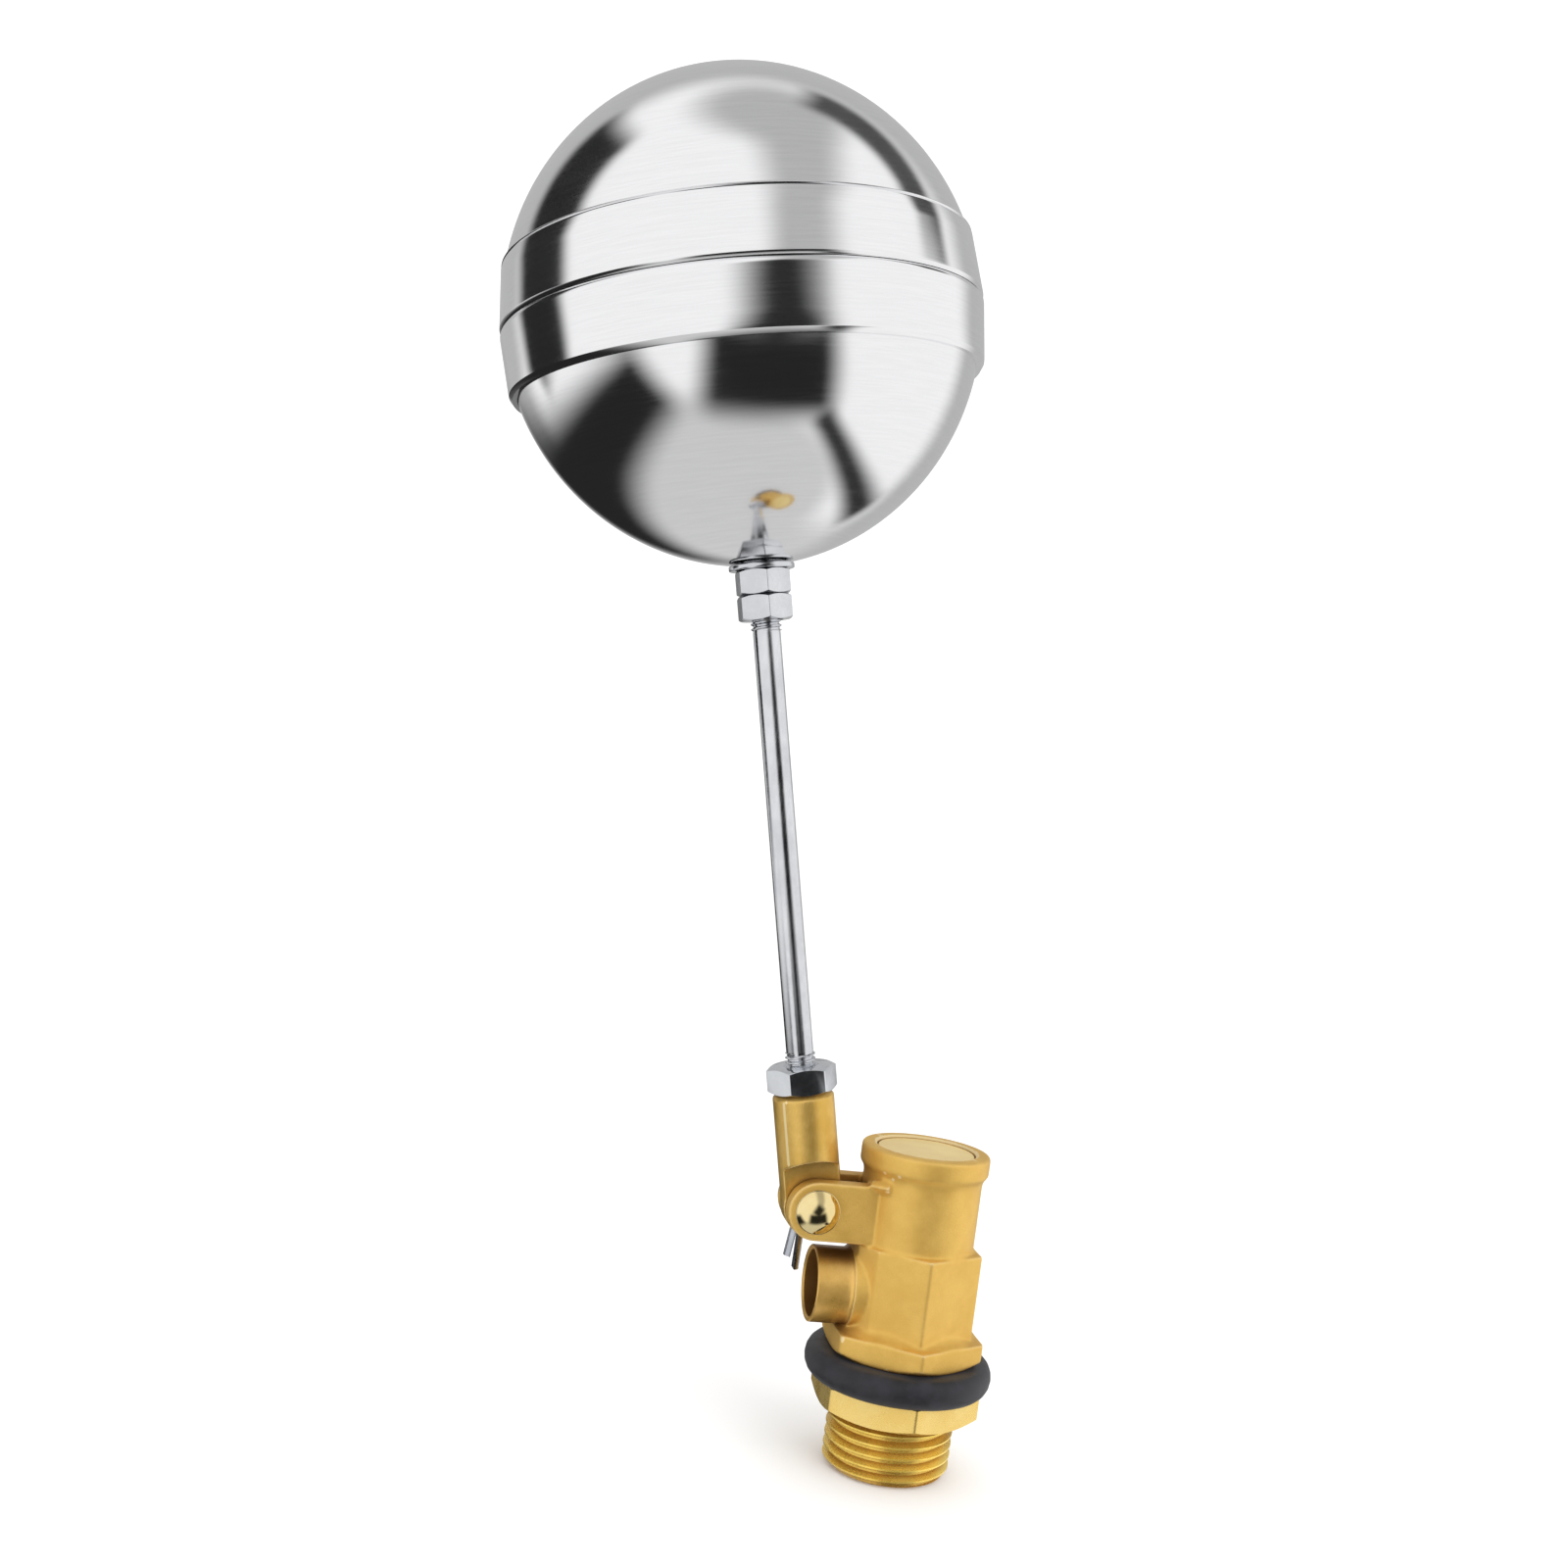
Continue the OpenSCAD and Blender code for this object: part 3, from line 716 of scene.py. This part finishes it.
def split_leg(name, side, bends):
    """Draws out half-round wire from inside the pin: each bend is (length, turn in degrees)."""
    wire, gap = 1.08, 0.06
    section = []
    for step in range(13):
        angle = math.radians(-90 + 15 * step)
        section.append((side * max(wire * math.cos(angle), gap), wire * math.sin(angle)))
    here, lean = Vector((0, 0, 0)), 0.0
    points = []
    for length, turn in [(0, 0)] + bends:
        lean += math.radians(turn)
        here = here + length * Vector((-math.sin(lean), 0, -math.cos(lean)))
        across = Vector((math.cos(lean), 0, -math.sin(lean)))
        points += [(here + out * across + Vector((0, along, 0))) * mm for out, along in section]
    count = len(section)
    rings = len(bends)
    faces = [list(range(count)), list(range(rings * count, (rings + 1) * count))]
    for ring_start in range(0, rings * count, count):
        for step in range(count):
            after = (step + 1) % count
            faces.append((
                ring_start + step, ring_start + after,
                ring_start + count + after, ring_start + count + step))
    return skinned(name, points, faces)


split_pin = bar("split_pin", 1.04, (0, 0, -2.9), (0, 0, 4.0), 32)
work(split_pin, block("wire_gap", (-0.05, -2, -6), (0.05, 2, 3.2)))
bpy.ops.object.select_all(action="DESELECT")
bpy.ops.mesh.primitive_torus_add(
    major_radius=1.35 * mm, minor_radius=0.55 * mm, major_segments=48, minor_segments=20,
    location=(0, 0, 4.6 * mm), rotation=(math.radians(90), 0, 0))
eye = bpy.context.object
bpy.ops.object.transform_apply(location=True, rotation=True, scale=True)
work(split_pin, eye, "UNION")
short_leg = split_leg("short_leg", -1, [(2.4, 0), (0.8, 2), (0.8, 3), (1, 2), (3.0, 0), (3.0, 0)])
long_leg = split_leg("long_leg", 1, [(2.4, 0), (0.8, 0.5), (0.8, 0.5), (3, 0), (3, 0), (3.0, 0)])
work(split_pin, short_leg, "UNION")
work(split_pin, long_leg, "UNION")
finish_piece(split_pin, "body", "split_pin", plated_steel, angle=35,
             place=Matrix.Translation(split_place * mm))


# Lever
# Cast brass lever: a turned socket for the float rod, cut out in an arch to clear the ears, then
# a flat tongue on the pivot and a finger that reaches into the piston's slot.
arm_lean = math.radians(-12.2)
finger_rise = math.radians(-6.3)
arm_place = Matrix.Translation(pivot * mm) @ Matrix.Rotation(arm_lean, 4, "Y")
finger_place = Matrix.Translation(pivot * mm) @ Matrix.Rotation(finger_rise, 4, "Y")
socket_radius, socket_high, arch_radius, tongue_half = 5.0, 18.8, 8.0, 2.1
finger_half, finger_tip_radius, finger_length = 1.86, 2.62, 18

lever = turned("lever", [
    (0, 0.5), (socket_radius, 0.5), (socket_radius, socket_high - 0.8),
    (socket_radius - 0.8, socket_high), (0, socket_high)])
for side in (-1, 1):
    work(lever, bar("arch", arch_radius, (0, side * tongue_half, 0), (0, side * 9, 0), 96))
lever_parts = [lever, bar("hub", socket_radius, (0, -tongue_half, 0), (0, tongue_half, 0))]
lever_parts.append(block(
    "tongue", (-4.6, -tongue_half, 0), (4.6, tongue_half, arch_radius + 1)))
finger_back = arm_place.inverted() @ finger_place
for part in (
    block("finger_root", (0, -tongue_half, -3.1), (8, tongue_half, 3.1)),
    block("finger", (6, -tongue_half, -finger_half), (finger_length, tongue_half, finger_half)),
    bar("finger_tip", finger_tip_radius,
        (finger_length, -tongue_half, 0), (finger_length, tongue_half, 0), 48),
):
    place_now(part, finger_back)
    lever_parts.append(part)
pick(*lever_parts)
bpy.ops.object.join()
use_modifier(lever, "REMESH", mode="VOXEL", voxel_size=0.17 * mm, use_smooth_shade=True)
use_modifier(lever, "SMOOTH", factor=0.5, iterations=5)
work(lever, bar("pin_bore", pin_radius + 0.05, (0, -6, 0), (0, 6, 0)), solver="MANIFOLD")
work(lever, turned("rod_bore", [
    (0, 9.2), (2.5, 9.2), (2.5, socket_high - 0.3), (2.8, socket_high + 0.05), (2.8, 22), (0, 22)]),
    solver="MANIFOLD")
# The corner colour here is painted shade, darkening the arch and the tongue's corners.
lever_brass = metal(
    "lever_brass", (0.80, 0.53, 0.15), (0.64, 0.39, 0.08), (0.28, 0.42),
    grain=(0.3, 0.03, 0.4), turn=(0, -arm_lean, 0), stretch=(1, 1, 0.35), edge_tone=(0.98, 0.82, 0.46),
    bare=0.75, painted_shade=(0.22, 0.1, 0.02))
finish_piece(lever, "arm", "lever", lever_brass, angle=40, place=arm_place)


# Nut on the lever
# Bright plated nut, 10 mm across its flats, that locks the rod in the lever's socket.
jam_low, jam_high, jam_flats, screw_hole = 18.8, 23.0, 10.0, 2.5
chrome = metal(
    "bright_plating", (0.80, 0.82, 0.85), (0.70, 0.72, 0.76), (0.07, 0.16),
    grain=(0.8, 0.01, 0.2))
jam_nut = hex_nut("lever_jam_nut", jam_flats, jam_low, jam_high, screw_hole)
jam_place = arm_place @ Matrix.Rotation(math.radians(30), 4, "Z")
finish_piece(jam_nut, "arm", "lever_jam_nut", chrome, place=jam_place)


# Float rod
# Stainless rod with a rolled M5 thread at each end. The plain part between is left at the blank's
# diameter, so it is thinner than the threads.
rod_radius, rod_thread, rod_root, rod_pitch = 2.2, 2.45, 2.05, 0.8
rod_low, rod_plain, rod_plain_end, rod_high = 9.6, 25.4, 92.35, 109.0
rod = turned("float_rod", [
    (0, rod_plain - 1.5), (2.0, rod_plain - 1.5), (rod_radius, rod_plain), (rod_radius, 60),
    (rod_radius, rod_plain_end), (2.0, rod_plain_end + 1.5), (0, rod_plain_end + 1.5)], steps=64)
for low, high in ((rod_low, rod_plain - 0.3), (rod_plain_end + 0.3, rod_high)):
    screw = threaded("rod_thread", rod_thread, rod_root, rod_pitch, low, high, 40)
    work(rod, screw, "UNION")
drawn_steel = metal(
    "drawn_stainless", (0.78, 0.79, 0.81), (0.62, 0.63, 0.66), (0.1, 0.22),
    grain=(0.35, 0.012, 0.4), turn=(0, -arm_lean, 0), stretch=(1, 1, 0.04))
finish_piece(rod, "arm", "float_rod", drawn_steel, angle=35, place=arm_place)


# Nuts and washer at the float
# Two thin stainless nuts locked against each other under a plain washer, which bears on the
# float's bush.
stainless = metal(
    "stainless_bright", (0.74, 0.75, 0.77), (0.62, 0.63, 0.66), (0.12, 0.24),
    grain=(0.6, 0.01, 0.25))
for name, low, high in (
    ("float_nut_lower", 94.35, 98.25),
    ("float_nut_upper", 98.35, 102.25),
):
    nut = hex_nut(name, 8.0, low, high, screw_hole)
    finish_piece(nut, "arm", "float_nuts", stainless, place=arm_place)
bearing_washer = turned("float_washer", [
    (2.55, 102.25), (5.2, 102.25), (5.2, 103.05), (2.55, 103.05)])
break_edges(bearing_washer, 0.15)
finish_piece(bearing_washer, "arm", "float_washer", stainless, place=arm_place)
bush = turned("float_bush", [
    (2.5, 103.05), (3.8, 103.05), (3.8, 103.85), (5.3, 103.85), (5.3, 105.05), (3.8, 105.05),
    (3.8, 112.05), (0, 112.05), (0, 109.55), (2.5, 109.55)])
break_edges(bush, 0.1)
finish_piece(bush, "arm", "float_bush", stainless, place=arm_place)


# Float
# Two halves pressed from 0.5 mm stainless sheet and welded edge to edge. Each rim is set out to
# form half of a raised belt, and the whole is polished on a spinning mop.
float_centre, ball_radius, belt_radius, belt_half, sheet = 140.0, 37.0, 37.4, 10.0, 0.5
upper_fall, upper_slope = 1.2, 0.15
lower_fall, lower_slope = 0.6, 0.55


def pressed_half(name, down, fall, slope):
    """One half of the ball, as a wall outline from its pole to its rim and back inside. The belt's
    radius falls by fall from the seam to its edge, which slopes over slope mm of height."""
    seam = 0.05
    step_out = math.asin(belt_half / ball_radius)
    step_in = math.asin((belt_half - sheet) / (ball_radius - sheet))
    edge = belt_radius - fall
    outline = []
    for count in range(45):
        angle = math.pi / 2 + (step_out - math.pi / 2) * count / 44
        outline.append((ball_radius * math.cos(angle), ball_radius * math.sin(angle)))
    outline += [
        (edge - 0.45, belt_half), (edge - 0.1, belt_half - slope), (edge, belt_half - slope - 0.12)]
    if not down:
        outline += [(edge - 0.2, belt_half - slope - 0.3), (edge + 0.03, belt_half - slope - 0.48)]
    for height in (belt_half - slope - 0.65, 7, 5, 3, 0.95, 0.8):
        outline.append((belt_radius - fall * height / belt_half, height))
    outline += [
        (belt_radius - 0.07, 0.55), (belt_radius - 0.16, 0.34), (belt_radius - 0.42, seam),
        (belt_radius - sheet, seam), (edge - sheet, belt_half - sheet)]
    for count in range(24):
        angle = step_in + (math.pi / 2 - step_in) * count / 23
        radius = ball_radius - sheet
        outline.append((radius * math.cos(angle), radius * math.sin(angle)))
    if down:
        outline = [(radius, -height) for radius, height in outline]
    outline = [(max(radius, 0), height) for radius, height in outline]
    return turned(name, [(radius, float_centre + height) for radius, height in outline], steps=160)


def spun_steel(name):
    """Polished sheet: near mirror, with faint rings left by the mop round the ball's axis."""
    material = bpy.data.materials.new(name)
    material.use_nodes = True
    tree = material.node_tree
    shader = tree.nodes["Principled BSDF"]
    shader.inputs["Metallic"].default_value = 1.0
    place = tree.nodes.new("ShaderNodeTexCoord").outputs["Object"]
    ball = arm_place @ Vector((0, 0, float_centre * mm))
    lay = tree.nodes.new("ShaderNodeMapping")
    lay.vector_type = "TEXTURE"
    lay.inputs["Location"].default_value = ball
    lay.inputs["Rotation"].default_value = (0, arm_lean, 0)
    tree.links.new(place, lay.inputs["Vector"])
    ring_lay = tree.nodes.new("ShaderNodeMapping")
    ring_lay.inputs["Scale"].default_value = (0.04, 0.04, 1)
    tree.links.new(lay.outputs[0], ring_lay.inputs["Vector"])
    rings = noise_node(tree, ring_lay.outputs[0], 1 / (0.3 * mm), 4, 0.6)
    haze = noise_node(tree, place, 1 / (14 * mm), 3, 0.5)
    dents = noise_node(tree, place, 1 / (22 * mm), 1, 0.4)
    colour = blend_node(
        tree, ramp_node(tree, rings, 0.3, 0.7, 0, 1), (0.84, 0.84, 0.85), (0.88, 0.88, 0.89))
    tree.links.new(colour, shader.inputs["Base Color"])
    mixed = math_node(tree, "MULTIPLY", math_node(tree, "ADD", haze, rings), 0.5)
    tree.links.new(ramp_node(tree, mixed, 0.35, 0.65, 0.09, 0.13), shader.inputs["Roughness"])
    soft_dents = bump_node(tree, dents, 0.25, 0.8)
    ring_bump = bump_node(tree, rings, 0.03, 0.006)
    tree.links.new(soft_dents.outputs[0], ring_bump.inputs["Normal"])
    tree.links.new(ring_bump.outputs[0], shader.inputs["Normal"])
    return material


mirror_steel = spun_steel("stainless_mirror")
upper_shell = pressed_half("float_upper_shell", False, upper_fall, upper_slope)
finish_piece(
    upper_shell, "arm", "float_upper_shell", mirror_steel, angle=28,
    place=arm_place)
lower_shell = pressed_half("float_lower_shell", True, lower_fall, lower_slope)
work(lower_shell, turned("bush_hole", [
    (0, 98), (3.8, 98), (3.8, 103.85), (5.3, 103.85), (5.3, 105.05), (0, 105.05)]))
finish_piece(
    lower_shell, "arm", "float_lower_shell", mirror_steel, angle=28,
    place=arm_place)
